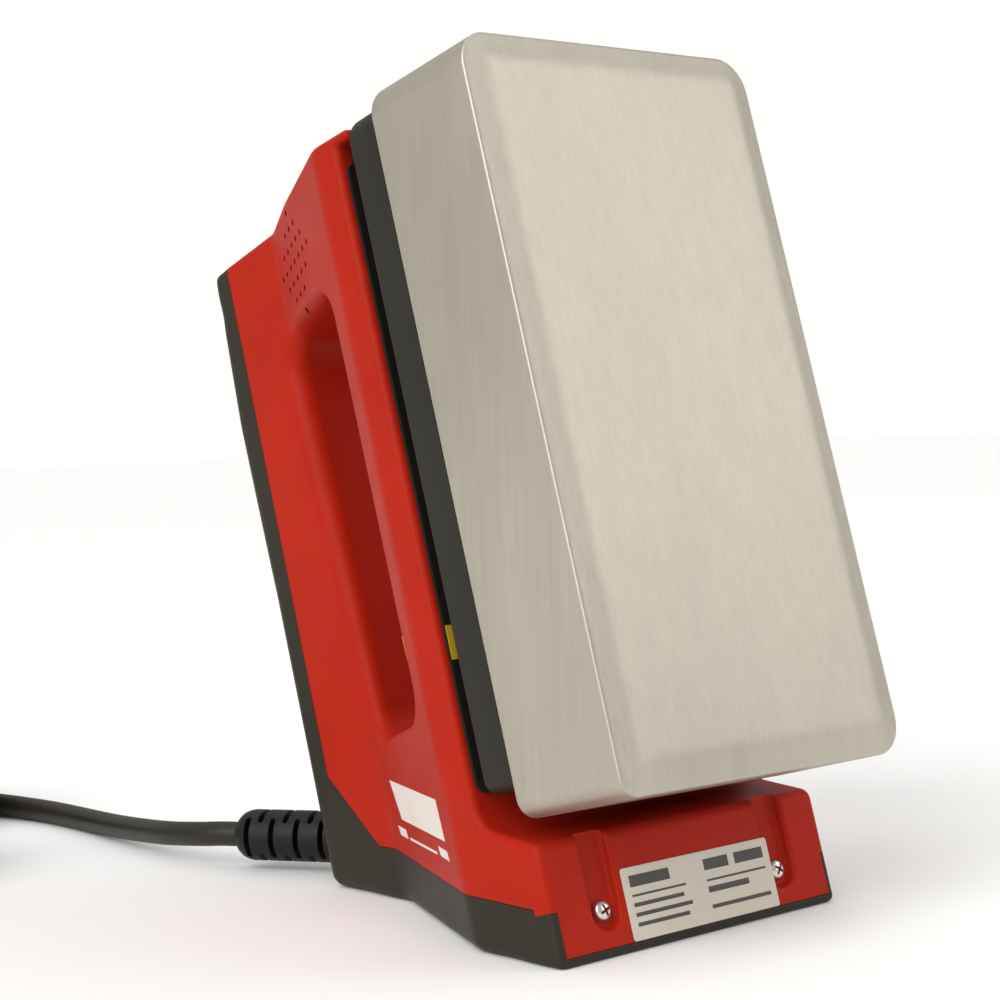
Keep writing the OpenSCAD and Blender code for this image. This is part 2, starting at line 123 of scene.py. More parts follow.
def standing(points):
    """Points of the iron's frame, in millimetres, as points of the standing frame in metres."""
    p = np.asarray(points, float).reshape(-1, 3)
    y, z = p[:, 1] - FRONT_Y, p[:, 2] - FRONT_Z
    c, s = math.cos(LEAN), math.sin(LEAN)
    return np.stack([p[:, 0], REST_FRONT + y * c + z * s, z * c - y * s], 1) * MM


def floor_z(y):
    """Height of the floor in the iron's frame at depth y."""
    return FRONT_Z + (y - FRONT_Y) * math.tan(LEAN)


# ---- camera, lights and floor

def add_camera():
    data = bpy.data.cameras.new("camera")
    data.lens = LENS
    data.sensor_width = 36.0
    data.clip_start, data.clip_end = 0.02, 20.0
    camera = bpy.data.objects.new("camera", data)
    bpy.context.scene.collection.objects.link(camera)
    forward = Vector(CAMERA_FORWARD).normalized()
    right = forward.cross(Vector(CAMERA_UP)).normalized()
    up = right.cross(forward)
    turn = Matrix((right, up, -forward)).transposed()
    camera.matrix_world = Matrix.Translation(CAMERA_AT) @ turn.to_4x4()
    bpy.context.scene.camera = camera


def add_light(name, kind, at, towards, power, size=(1.0, 1.0), spread=0.0):
    """An area light of some size in metres, or a sun as wide as spread in degrees."""
    data = bpy.data.lights.new(name, kind)
    data.energy = power
    if kind == "AREA":
        data.shape = "RECTANGLE"
        data.size, data.size_y = size
    else:
        data.angle = math.radians(spread)
    light = bpy.data.objects.new(name, data)
    light.location = at
    light.rotation_euler = (Vector(towards) - Vector(at)).to_track_quat("-Z", "Y").to_euler()
    bpy.context.scene.collection.objects.link(light)


def add_studio():
    """A white room that shows white but lights the object at half that strength, and a white floor."""
    world = bpy.data.worlds.new("studio")
    bpy.context.scene.world = world
    world.use_nodes = True
    tree = world.node_tree
    background = tree.nodes["Background"]
    background.inputs["Color"].default_value = (1.0, 0.99, 0.97, 1.0)
    rays = tree.nodes.new("ShaderNodeLightPath")
    strength = add_range(tree, rays.outputs["Is Camera Ray"], ROOM_LIGHT, BACKDROP)
    tree.links.new(strength, background.inputs["Strength"])
    middle = (0.0, 0.0, 0.09)
    add_light("front_panel", "AREA", (1.0, -1.08, 0.86), middle, 6.7, (1.3, 1.1))
    add_light("side_window", "SUN", (-0.85, -0.15, 0.6), middle, 2.1, spread=50.0)
    add_light("overhead", "SUN", (0.0, 0.0, 1.0), middle, 0.8, spread=80.0)
    bpy.context.scene.view_settings.view_transform = "Standard"
    mesh = bpy.data.meshes.new("floor")
    reach = 6.0
    corners = [(-reach, -reach, 0), (reach, -reach, 0), (reach, reach, 0), (-reach, reach, 0)]
    mesh.from_pydata(corners, [], [(0, 1, 2, 3)])
    floor = bpy.data.objects.new("floor", mesh)
    floor.location.z = -0.0001
    bpy.context.scene.collection.objects.link(floor)
    floor.data.materials.append(matte("floor_white", (0.93, 0.93, 0.92), 0.8))


# ---- materials

def new_material(name):
    material = bpy.data.materials.new(name)
    material.use_nodes = True
    tree = material.node_tree
    return material, tree, tree.nodes["Principled BSDF"]


def matte(name, colour, roughness):
    material, _, shader = new_material(name)
    shader.inputs["Base Color"].default_value = (*colour, 1.0)
    shader.inputs["Roughness"].default_value = roughness
    return material


def add_noise(tree, scale, detail=3.0, stretch=(1.0, 1.0, 1.0), roughness=0.5):
    """Noise in the object's own coordinates, in metres, stretched along the frame's axes."""
    place = tree.nodes.new("ShaderNodeTexCoord")
    scaled = tree.nodes.new("ShaderNodeMapping")
    scaled.inputs["Scale"].default_value = stretch
    scaled.inputs["Rotation"].default_value = (LEAN, 0.0, 0.0)
    noise = tree.nodes.new("ShaderNodeTexNoise")
    noise.inputs["Scale"].default_value = scale
    noise.inputs["Detail"].default_value = detail
    noise.inputs["Roughness"].default_value = roughness
    tree.links.new(place.outputs["Object"], scaled.inputs["Vector"])
    tree.links.new(scaled.outputs["Vector"], noise.inputs["Vector"])
    return noise.outputs["Fac"]


def add_ramp(tree, value, low, high, place=(0.3, 0.7)):
    """A colour from low to high as value goes across place."""
    ramp = tree.nodes.new("ShaderNodeValToRGB")
    for element, at, colour in zip(ramp.color_ramp.elements, place, (low, high)):
        element.position = at
        element.color = (*colour, 1.0)
    tree.links.new(value, ramp.inputs["Fac"])
    return ramp.outputs["Color"]


def add_range(tree, value, low, high):
    """A number from low to high as value goes from 0 to 1."""
    spread = tree.nodes.new("ShaderNodeMapRange")
    spread.inputs["To Min"].default_value = low
    spread.inputs["To Max"].default_value = high
    tree.links.new(value, spread.inputs["Value"])
    return spread.outputs["Result"]


def add_bump(tree, shader, value, distance):
    bump = tree.nodes.new("ShaderNodeBump")
    bump.inputs["Distance"].default_value = distance
    bump.inputs["Strength"].default_value = 1.0
    tree.links.new(value, bump.inputs["Height"])
    tree.links.new(bump.outputs["Normal"], shader.inputs["Normal"])


def multiply_colours(tree, first, second):
    mix = tree.nodes.new("ShaderNodeMix")
    mix.data_type = "RGBA"
    mix.blend_type = "MULTIPLY"
    mix.inputs["Factor"].default_value = 1.0
    tree.links.new(first, mix.inputs[6])
    tree.links.new(second, mix.inputs[7])
    return mix.outputs[2]


def plastic(name, colour, roughness, grain=900.0, grain_depth=0.00003, mottle=0.06, specular=0.5):
    """A moulded plastic: fine spark-eroded grain, slow drift of tone, uneven gloss."""
    material, tree, shader = new_material(name)
    darker = tuple(c * (1 - mottle) for c in colour)
    lighter = tuple(min(1.0, c * (1 + mottle)) for c in colour)
    drift = add_noise(tree, 38.0)
    tree.links.new(add_ramp(tree, drift, darker, lighter), shader.inputs["Base Color"])
    gloss = add_noise(tree, 120.0, 4.0)
    tree.links.new(add_range(tree, gloss, roughness - 0.06, roughness + 0.06), shader.inputs["Roughness"])
    shader.inputs["Specular IOR Level"].default_value = specular
    add_bump(tree, shader, add_noise(tree, grain, 2.0), grain_depth)
    return material


def metal(name, colour, roughness, grain=(1.0, 1.0, 1.0)):
    """A worked metal: grain runs along the axis in which its stretch is smallest."""
    material, tree, shader = new_material(name)
    mottle = 0.05
    darker = tuple(c * (1 - mottle) for c in colour)
    lighter = tuple(min(1.0, c * (1 + mottle)) for c in colour)
    streaks = add_noise(tree, 260.0, 4.0, grain)
    tree.links.new(add_ramp(tree, streaks, darker, lighter), shader.inputs["Base Color"])
    shader.inputs["Metallic"].default_value = 1.0
    tree.links.new(add_range(tree, streaks, roughness - 0.05, roughness + 0.07), shader.inputs["Roughness"])
    add_bump(tree, shader, streaks, 0.00002)
    return material


# ---- mesh building

def add_piece(name, verts, faces, material, slot=None, node=None, body=BODY, smooth_angle=32.0):
    """A mesh piece in the standing frame, in metres, riding on a body and standing for CAD nodes."""
    mesh = bpy.data.meshes.new(name)
    mesh.from_pydata([tuple(v) for v in verts], [], [tuple(int(i) for i in f) for f in faces])
    tidy_mesh(mesh)
    piece = bpy.data.objects.new(name, mesh)
    bpy.context.scene.collection.objects.link(piece)
    mesh.materials.append(material)
    if smooth_angle:
        shade(piece, smooth_angle)
    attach(piece, body)
    if node:
        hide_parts(*([node] if isinstance(node, str) else node))
    return piece


def tidy_mesh(mesh):
    """Merges doubled points, drops empty faces and turns all faces outwards."""
    work = bmesh.new()
    work.from_mesh(mesh)
    bmesh.ops.remove_doubles(work, verts=work.verts, dist=1e-7)
    bmesh.ops.dissolve_degenerate(work, dist=1e-8, edges=work.edges)
    bmesh.ops.recalc_face_normals(work, faces=work.faces)
    work.to_mesh(mesh)
    work.free()
    mesh.update()


def shade(piece, angle=32.0):
    mesh = piece.data
    mesh.shade_smooth()
    mesh.set_sharp_from_angle(angle=math.radians(angle))


def combine(piece, cutter, operation):
    """Joins, cuts or clips piece with a closed mesh, and removes that mesh."""
    step = piece.modifiers.new("combine", "BOOLEAN")
    step.solver = "MANIFOLD"
    step.operation = operation
    step.object = cutter
    bake_modifiers(piece)
    bpy.data.objects.remove(cutter)


def bake_modifiers(piece):
    graph = bpy.context.evaluated_depsgraph_get()
    baked = bpy.data.meshes.new_from_object(piece.evaluated_get(graph))
    piece.modifiers.clear()
    old = piece.data
    piece.data = baked
    bpy.data.meshes.remove(old)


def loose_mesh(name, verts, faces):
    """A mesh object that rides on nothing yet, for building with."""
    mesh = bpy.data.meshes.new(name)
    mesh.from_pydata([tuple(v) for v in verts], [], [tuple(int(i) for i in f) for f in faces])
    tidy_mesh(mesh)
    made = bpy.data.objects.new(name, mesh)
    bpy.context.scene.collection.objects.link(made)
    return made


def joined(parts):
    """Several (verts, faces) as one."""
    verts, faces, start = [], [], 0
    for v, f in parts:
        verts.extend(np.asarray(v, float).reshape(-1, 3))
        faces.extend([tuple(i + start for i in face) for face in f])
        start += len(v)
    return np.array(verts), faces


def loft(rings):
    """Faces between rings of equally many points, with flat ends."""
    count = len(rings[0])
    verts = np.concatenate([np.asarray(r, float) for r in rings])
    faces = [
        (i * count + k, i * count + (k + 1) % count, (i + 1) * count + (k + 1) % count, (i + 1) * count + k)
        for i in range(len(rings) - 1) for k in range(count)
    ]
    faces.append(tuple(range(count - 1, -1, -1)))
    faces.append(tuple((len(rings) - 1) * count + k for k in range(count)))
    return verts, faces


def rounded_outline(points, radii, steps=8):
    """A polygon with each corner replaced by an arc of its own radius."""
    out, count = [], len(points)
    if not hasattr(radii, "__len__"):
        radii = [radii] * count
    for i in range(count):
        before, at, after = (np.array(points[(i + k) % count], float) for k in (-1, 0, 1))
        if radii[i] <= 0:
            out.append(at)
            continue
        u = (before - at) / np.linalg.norm(before - at)
        v = (after - at) / np.linalg.norm(after - at)
        half = math.acos(max(-1.0, min(1.0, float(u @ v)))) / 2
        if half > math.radians(89.5):
            out.append(at)
            continue
        middle = at + (u + v) / np.linalg.norm(u + v) * radii[i] / math.sin(half)
        reach = radii[i] / math.tan(half)
        start, end = at + u * reach - middle, at + v * reach - middle
        for k in range(steps + 1):
            arm = start * (steps - k) + end * k
            out.append(middle + arm / np.linalg.norm(arm) * radii[i])
    return np.array(out)


def rect_ring(width, z_span, radius, inset, y, steps=8):
    """A rounded rectangle in X and Z at depth y, moved in by inset: one radius, or one for each corner."""
    half, low, high = width / 2 - inset, z_span[0] + inset, z_span[1] - inset
    radii = np.maximum(np.broadcast_to(radius, 4) - inset, 0.6)
    flat = rounded_outline([(-half, low), (half, low), (half, high), (-half, high)], radii, steps)
    return np.stack([flat[:, 0], np.full(len(flat), y), flat[:, 1]], 1)


def circle_ring(radius, y, at=(0.0, 0.0), count=32):
    turn = np.linspace(0, 2 * math.pi, count, endpoint=False)
    return np.stack([at[0] + radius * np.cos(turn), np.full(count, y), at[1] + radius * np.sin(turn)], 1)


def lathe_y(profile, at=(0.0, 0.0), count=32):
    """A turned piece along Y in the iron's frame, from (radius, y) pairs."""
    return loft([circle_ring(r, y, at, count) for r, y in profile])


def prism_x(outline, low, high):
    """A (Y, Z) outline swept along X."""
    ring = np.asarray(outline, float)
    return loft([np.column_stack([np.full(len(ring), x), ring]) for x in (low, high)])


def block(low, high):
    (x0, y0, z0), (x1, y1, z1) = low, high
    return prism_x([(y0, z0), (y1, z0), (y1, z1), (y0, z1)], x0, x1)


def in_standing(shape):
    verts, faces = shape
    return standing(verts), faces


def tool(shape):
    return loose_mesh("tool", *in_standing(shape))


# ---- smooth skins from distance fields

def outline_distance(u, v, outline):
    """Signed distance to a closed polygon, negative inside; u and v may broadcast."""
    nearest, inside = None, None
    pts = np.asarray(outline, float)
    for (ax, ay), (bx, by) in zip(pts, np.roll(pts, -1, 0)):
        dx, dy = bx - ax, by - ay
        length = dx * dx + dy * dy
        if length < 1e-12:
            continue
        t = np.clip(((u - ax) * dx + (v - ay) * dy) / length, 0, 1)
        d = (u - ax - t * dx) ** 2 + (v - ay - t * dy) ** 2
        nearest = d if nearest is None else np.minimum(nearest, d)
        if ay != by:
            crosses = ((ay > v) != (by > v)) & (u < dx * (v - ay) / dy + ax)
            inside = crosses if inside is None else inside ^ crosses
    return np.where(inside, -1.0, 1.0) * np.sqrt(nearest)


def both(a, b, radius):
    """What is inside both fields, its edge rounded to radius."""
    beyond = np.hypot(np.maximum(radius + a, 0), np.maximum(radius + b, 0))
    return np.minimum(-radius, np.maximum(a, b)) + beyond


def soft_max(a, b, blend):
    near = np.maximum(blend - np.abs(a - b), 0)
    return np.maximum(a, b) + near * near / (4 * blend)


def soft_min(a, b, blend):
    return -soft_max(-a, -b, blend)


def gradient(field, points, step=0.02):
    slopes = []
    for axis in range(3):
        ahead, behind = points.copy(), points.copy()
        ahead[:, axis] += step
        behind[:, axis] -= step
        slopes.append((field(*ahead.T) - field(*behind.T)) / (2 * step))
    return np.stack(slopes, 1)


def skin(field, low, high, step):
    """A closed mesh of quads where field is zero: one point in each grid cell that it crosses."""
    axes = [np.arange(a, b + step, step) for a, b in zip(low, high)]
    x, y, z = axes[0][:, None, None], axes[1][None, :, None], axes[2][None, None, :]
    inside = np.broadcast_to(field(x, y, z), tuple(len(a) for a in axes)) < 0
    count = np.zeros(tuple(n - 1 for n in inside.shape), int)
    for i in (0, 1):
        for j in (0, 1):
            for k in (0, 1):
                count += inside[i:i + count.shape[0], j:j + count.shape[1], k:k + count.shape[2]]
    cells = np.argwhere((count > 0) & (count < 8))
    index = np.full(count.shape, -1)
    index[tuple(cells.T)] = np.arange(len(cells))
    points = np.array(low) + (cells + 0.5) * step
    for _ in range(6):
        slope = gradient(field, points)
        move = field(*points.T)[:, None] * slope / np.maximum((slope ** 2).sum(1, keepdims=True), 0.05)
        points -= np.clip(move, -step, step)
    quads = []
    for axis in range(3):
        ahead = np.take(inside, range(1, inside.shape[axis]), axis)
        behind = np.take(inside, range(inside.shape[axis] - 1), axis)
        b, c = [a for a in range(3) if a != axis]
        for rising in (True, False):
            edges = np.argwhere((behind != ahead) & (ahead == rising))
            edges = edges[(edges[:, b] > 0) & (edges[:, c] > 0)]
            corners = []
            for db, dc in ((0, 0), (1, 0), (1, 1), (0, 1)):
                cell = edges.copy()
                cell[:, b] -= db
                cell[:, c] -= dc
                corners.append(index[tuple(cell.T)])
            quad = np.stack(corners, 1)
            quads.append(quad if rising == (axis != 1) else quad[:, ::-1])
    return points, np.concatenate(quads)


def thin_out(piece, share):
    """Keeps a share of the faces, most of them where the skin curves."""
    step = piece.modifiers.new("thin", "DECIMATE")
    step.ratio = share
    bake_modifiers(piece)


def to_iron(points):
    """Points of the standing frame in metres, back in the iron's frame in millimetres."""
    p = np.asarray(points, float).reshape(-1, 3) / MM
    y, z = p[:, 1] - REST_FRONT, p[:, 2]
    c, s = math.cos(LEAN), math.sin(LEAN)
    return np.stack([p[:, 0], FRONT_Y + y * c - z * s, FRONT_Z + y * s + z * c], 1)


def set_skin_normals(piece, field, near=0.05):
    """Shades the faces that lie on the field's surface by its slope, and the others flat."""
    mesh = piece.data
    mesh.shade_smooth()
    count = len(mesh.vertices)
    co = np.zeros(count * 3, np.float32)
    mesh.vertices.foreach_get("co", co)
    points = to_iron(co.reshape(-1, 3))
    slope = gradient(field, points)
    slope /= np.maximum(np.linalg.norm(slope, axis=1, keepdims=True), 1e-9)
    turned = standing(slope + np.array([0, FRONT_Y, FRONT_Z])) / MM - np.array([0, REST_FRONT, 0])
    on_skin = np.abs(field(*points.T)) < near
    polygons = len(mesh.polygons)
    middle, flat = np.zeros(polygons * 3, np.float32), np.zeros(polygons * 3, np.float32)
    mesh.polygons.foreach_get("center", middle)
    mesh.polygons.foreach_get("normal", flat)
    flat = flat.reshape(-1, 3)
    start, total = np.zeros(polygons, np.int32), np.zeros(polygons, np.int32)
    mesh.polygons.foreach_get("loop_start", start)
    mesh.polygons.foreach_get("loop_total", total)
    corner = np.zeros(len(mesh.loops), np.int32)
    mesh.loops.foreach_get("vertex_index", corner)
    face = np.repeat(np.arange(polygons), total)
    agrees = (turned[corner] * flat[face]).sum(1) > 0.6
    use = on_skin[corner] & agrees
    whole = np.ones(polygons, bool)
    np.logical_and.at(whole, face, use)
    normals = np.where(whole[face][:, None], turned[corner], flat[face])
    mesh.normals_split_custom_set([tuple(n) for n in normals])


# ---- the cord

CORD_ROUTE = [
    (-18.06, 99.13, 8.9), (-20.4, 104.4, 8.8), (-22.2, 110.6, 8.3), (-23, 118.5, 7.6), (-22.8, 127.5, 6.8),
    (-21.2, 138, 5.9), (-19.2, 150, 5), (-17, 163, 4.2), (-15, 176, 3.7), (-13.6, 190, 3.5),
    (-13.2, 204, 3.5), (-14, 218, 3.5), (-15.8, 235, 3.5), (-18, 252, 3.5)
]
LEAD_ROUTE = [
    (-105.3, 236.6, 17.2), (-101.6, 226, 17.6), (-97.6, 214.5, 18), (-94.2, 203.5, 18.4), (-93, 193, 18.5)
]
COIL_AT = (-63.0, 252.0)
COIL_RADII = [45, 38, 31, 31, 38, 45, 38, 45]
COIL_HEIGHTS = [3.5, 3.5, 3.5, 10.3, 10.3, 10.3, 17.1, 17.2]
COIL_TURNS = 7.55
COIL_STEPS = 40
EXIT_AT = np.array([0.0, 61.1, 9.35])
EXIT_TURN = math.radians(25.4)
EXIT_DROP = math.radians(0.6)
GUARD_LEN = 42.1
GUARD_ROOT = 13.0
SLOT_FIRST = 37.0
SLOT_PITCH = 3.7
SLOT_COUNT = 9
SLOT_HALF = 0.8
SLOT_REACH = 5.4
GUARD_CORE = 3.7
PLUG_AT = np.array([-93.0, 193.0, 18.5])
PLUG_R = 18.5
PLUG_LEN = 40.0
PIN_LEN = 19.0
PIN_R = 2.4
PIN_GAP = 9.5
EARTH_SLOT_LEN = 17
EARTH_SLOT_HALF = 4
PLUG_RIBS = 3
RIB_START = 1.2
RIB_WIDTH = 1.2
RIB_PITCH = 2.6


def coil_points():
    """Turns beside and on each other: each turn climbs first, then moves in or out at its end."""
    def ease(part, start, end):
        return 0.5 - 0.5 * math.cos(math.pi * min(1.0, max(0.0, (part - start) / (end - start))))
    points = []
    for k in range(1, int(COIL_TURNS * COIL_STEPS)):
        turn, part = divmod(k / COIL_STEPS, 1.0)
        here = int(turn)
        after = min(here + 1, len(COIL_RADII) - 1)
        radius = COIL_RADII[here] + (COIL_RADII[after] - COIL_RADII[here]) * ease(part, 0.58, 1.0)
        height = COIL_HEIGHTS[here] + (COIL_HEIGHTS[after] - COIL_HEIGHTS[here]) * ease(part, 0.3, 0.6)
        angle = 2 * math.pi * part
        points.append((COIL_AT[0] + radius * math.cos(angle), COIL_AT[1] + radius * math.sin(angle), height))
    return points


def smoothed(points):
    """A smooth line through points, each span cut into steps."""
    steps = 6
    p = np.array(points, float)
    p = np.vstack([2 * p[0] - p[1], p, 2 * p[-1] - p[-2]])
    out = []
    for a, b, c, d in zip(p, p[1:], p[2:], p[3:]):
        for k in range(steps):
            t = k / steps
            out.append(0.5 * (2 * b + (c - a) * t + (2 * a - 5 * b + 4 * c - d) * t * t
                              + (3 * b - a - 3 * c + d) * t ** 3))
    out.append(p[-2])
    return np.array(out)


def add_cord(material):
    line = np.vstack([smoothed(CORD_ROUTE), coil_points(), smoothed(LEAD_ROUTE)]) * MM
    curve = bpy.data.curves.new("cord", "CURVE")
    curve.dimensions = "3D"
    curve.bevel_depth = CORD_D / 2 * MM
    curve.bevel_resolution = 6
    curve.use_fill_caps = True
    spline = curve.splines.new("POLY")
    spline.points.add(len(line) - 1)
    for point, at in zip(spline.points, line):
        point.co = (*at, 1.0)
    spline.use_smooth = True
    cord = bpy.data.objects.new("cord", curve)
    bpy.context.scene.collection.objects.link(cord)
    curve.materials.append(material)
    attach(cord, BODY)
    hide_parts("cord_tube", "cord_coil", "cord_lead")
    length = float(np.linalg.norm(np.diff(line, axis=0), axis=1).sum())
    return cord, tuple(line[0]), length


def along(shape, origin, direction):
    """A shape drawn along its own Y, put with Y along direction from origin, in millimetres."""
    verts, faces = shape
    y = np.array(direction, float) / np.linalg.norm(direction)
    x = np.cross(y, (0.0, 0.0, 1.0))
    x /= np.linalg.norm(x)
    z = np.cross(x, y)
    return (np.asarray(origin) + np.asarray(verts) @ np.stack([x, y, z])) * MM, faces


def exit_direction():
    flat = math.cos(EXIT_DROP)
    return (-math.sin(EXIT_TURN) * flat, math.cos(EXIT_TURN) * flat, -math.sin(EXIT_DROP))


def add_guard(material):
    """The bend protector: a sleeve cut into rings by slots on alternate faces, round its core."""
    r, tip = GUARD_D / 2, GUARD_LEN
    profile = [
        (0.3, -GUARD_ROOT), (r - 0.6, -GUARD_ROOT), (r, -GUARD_ROOT + 0.6), (r, 0.6), (r, tip - 4.8),
        (r - 0.25, tip - 3.4), (r - 0.8, tip - 2.1), (r - 1.7, tip - 1.0), (r - 2.6, tip - 0.3),
        (r - 3.3, tip), (0.3, tip)
    ]
    guard = loose_mesh("cord_guard_detail", *along(lathe_y(profile, count=64), EXIT_AT, exit_direction()))
    w, h = SLOT_HALF, SLOT_REACH
    cuts = []
    for i in range(SLOT_COUNT):
        s = SLOT_FIRST - SLOT_PITCH * i
        flat = rounded_outline([(s - w, -h), (s + w, -h), (s + w, h), (s - w, h)], 0.7, 4)
        verts, faces = prism_x(flat, -r - 2, r + 2)
        cuts.append((verts[:, [2, 1, 0]] if i % 2 else verts, faces))
    combine(guard, loose_mesh("tool", *along(joined(cuts), EXIT_AT, exit_direction())), "DIFFERENCE")
    core = lathe_y([(0.2, -GUARD_ROOT + 0.5), (GUARD_CORE, -GUARD_ROOT + 0.5), (GUARD_CORE, tip - 0.6),
                    (0.2, tip - 0.6)], count=40)
    combine(guard, loose_mesh("tool", *along(core, EXIT_AT, exit_direction())), "UNION")
    return dress(guard, material, "cord_guard")


def add_plug(body_material, pin_material):
    """A round two-pin plug with earth clips at its sides, lying along -Y from the end of the cord."""
    r, length = PLUG_R, PLUG_LEN
    profile = [
        (0.3, -6.0), (4.2, -6.0), (4.6, -5.4), (5.4, 0.0), (6.6, 4.0), (7.6, 8.0), (9.6, 11.0),
        (13.6, 13.6), (16.4, 15.8), (17.8, 18.4), (r, 22.0), (r, length - 1.2),
        (r - 0.35, length - 0.35), (r - 1.2, length), (0.3, length)
    ]
    plug = loose_mesh("plug_body_detail", *along(lathe_y(profile, count=64), PLUG_AT, (0, -1, 0)))
    cuts = []
    for side in (-1, 1):
        low, high = sorted((side * (r - 3), side * (r + 2)))
        start, end, half = length - EARTH_SLOT_LEN, length + 1, EARTH_SLOT_HALF
        corners = [(start, -half), (end, -half), (end, half), (start, half)]
        cuts.append(prism_x(rounded_outline(corners, [1, 0, 0, 1], 4), low, high))
    for i in range(PLUG_RIBS):
        s = RIB_START + RIB_PITCH * i
        for side in (-1, 1):
            low, high = sorted((side * 4.1, side * 9))
            cuts.append(block((-4, s, low), (4, s + RIB_WIDTH, high)))
    combine(plug, loose_mesh("tool", *along(joined(cuts), PLUG_AT, (0, -1, 0))), "DIFFERENCE")
    dress(plug, body_material, "plug_body")
    tip = length + PIN_LEN
    profile = [(0.2, length), (PIN_R, length), (PIN_R, tip - 1.3), (PIN_R - 0.4, tip - 0.5),
               (PIN_R - 1.0, tip - 0.1), (0.2, tip)]
    pins = joined([lathe_y(profile, (side * PIN_GAP, 0), 32) for side in (-1, 1)])
    pins_piece = loose_mesh("plug_pins_detail", *along(pins, PLUG_AT, (0, -1, 0)))
    dress(pins_piece, pin_material, "plug_pins")
    return plug, pins_piece


# ---- housing and back cover

def ramp(value, start, end):
    t = np.clip((value - start) / (end - start), 0, 1)
    return t * t * (3 - 2 * t)


SIDE_VIEW = rounded_outline(
    [(30.5, floor_z(30.5)), (30.5, -4.0), (48.5, 2.6), (48.5, 165.4), (44.0, 165.4), (44.0, 168.0),
     (92.0, 168.0), (131.7, 164.3), (137.9, 163.4), (140.4, 149.0), (141.7, 122.0), (141.2, 98.0),
     (140.6, 73.0), (140.5, floor_z(140.5))],
    [1.4, 3.0, 7.5, 0.7, 0.5, 1.3, 40.0, 12.0, 1.8, 40.0, 60.0, 60.0, 60.0, 4.0], 7)
OPENING_VIEW = rounded_outline(OPENING, OPENING_R, 9)


def opening_edge(y, z):
    """Radius of the handle opening's edge: crisp towards the plate, full round the grip."""
    grip = np.maximum(ramp(y, 94, 104), ramp(z, 121, 134) * ramp(y, 70, 84))
    return 1.4 + 4.0 * grip


def outer_edge(y, z):
    """Radius between the side walls and the rest of the outline: crisp at the nose, full at the grip."""
    back = ramp(y, 114, 130) * ramp(-z, -161, -150)
    low = ramp(floor_z(y) + 12 - z, 0, 8) * ramp(y, 36, 50) * (1 - back)
    return 1.9 + 2.5 * back + 1.2 * low


def housing_field(x, y, z):
    """Signed distance to the outside of housing and back cover together, negative inside."""
    across = np.abs(x)
    line = WIDE_HALF - (y - TAPER_FROM) * TAPER_SLOPE
    slant = (across - line) / math.hypot(1, TAPER_SLOPE)
    side = soft_max(across - WIDE_HALF, soft_min(slant, across - GRIP_HALF, 0.9), 0.9)
    body = both(side, outline_distance(y, z, SIDE_VIEW), outer_edge(y, z))
    return both(body, -outline_distance(y, z, OPENING_VIEW), opening_edge(y, z))


def plan_prism(y0, y1, inset):
    """The housing's plan outline between two depths, moved in by inset, over its whole height."""
    def half(y):
        share = min(1.0, max(0.0, (y - TAPER_FROM) / (TAPER_TO - TAPER_FROM)))
        return GRIP_HALF + (WIDE_HALF - GRIP_HALF) * (1 - share) - inset
    right = [(half(y), y) for y in (y0, TAPER_FROM, TAPER_TO, y1)]
    ring = np.array(right + [(-x, y) for x, y in reversed(right)])
    return loft([np.column_stack([ring, np.full(len(ring), z)]) for z in (-60.0, NOSE_Z + 20)])


def inner_space():
    """The room inside the walls, clear of the handle opening."""
    front, back = CHANNEL_FLOOR + WALL, BACK_Y - WALL - 0.4
    room = tool(plan_prism(front, back, WALL))
    outline = [(front, floor_z(front) + WALL * 1.05), (front, -6.0), (44, -2.4), (48.6, 1.6),
               (FLOOR_OUT + WALL, 8.0), (FLOOR_OUT + WALL, NOSE_Z - WALL), (92, NOSE_Z - WALL), (135.0, 161),
               (back, 150), (back, floor_z(back) + WALL * 1.05)]
    combine(room, tool(prism_x(outline, -60, 60)), "INTERSECT")
    (y0, z0), (y1, z1), (y2, z2), (y3, z3) = OPENING
    grown = [(y0 - WALL, z0 - WALL), (y1 + WALL, z1 - WALL), (y2 + WALL, z2 + WALL), (y3 - WALL, z3 + WALL)]
    combine(room, tool(prism_x(rounded_outline(grown, OPENING_R + WALL, 6), -60, 60)), "DIFFERENCE")
    return room


def vent_holes():
    """Rows of small round holes set in a diamond, through both sides of the nose."""
    holes = []
    for row in range(-VENT_ROWS, VENT_ROWS + 1):
        for column in range(abs(row) - VENT_ROWS, VENT_ROWS + 1 - abs(row)):
            y = VENT_AT[0] + VENT_PITCH[0] * column - VENT_LEAN * row
            z = VENT_AT[1] + VENT_PITCH[1] * row
            turn = np.linspace(0, 2 * math.pi, 12, endpoint=False)
            ring = np.column_stack([y + VENT_R * np.cos(turn), z + VENT_R * np.sin(turn)])
            holes.append(prism_x(ring, -50, 50))
    return joined(holes)


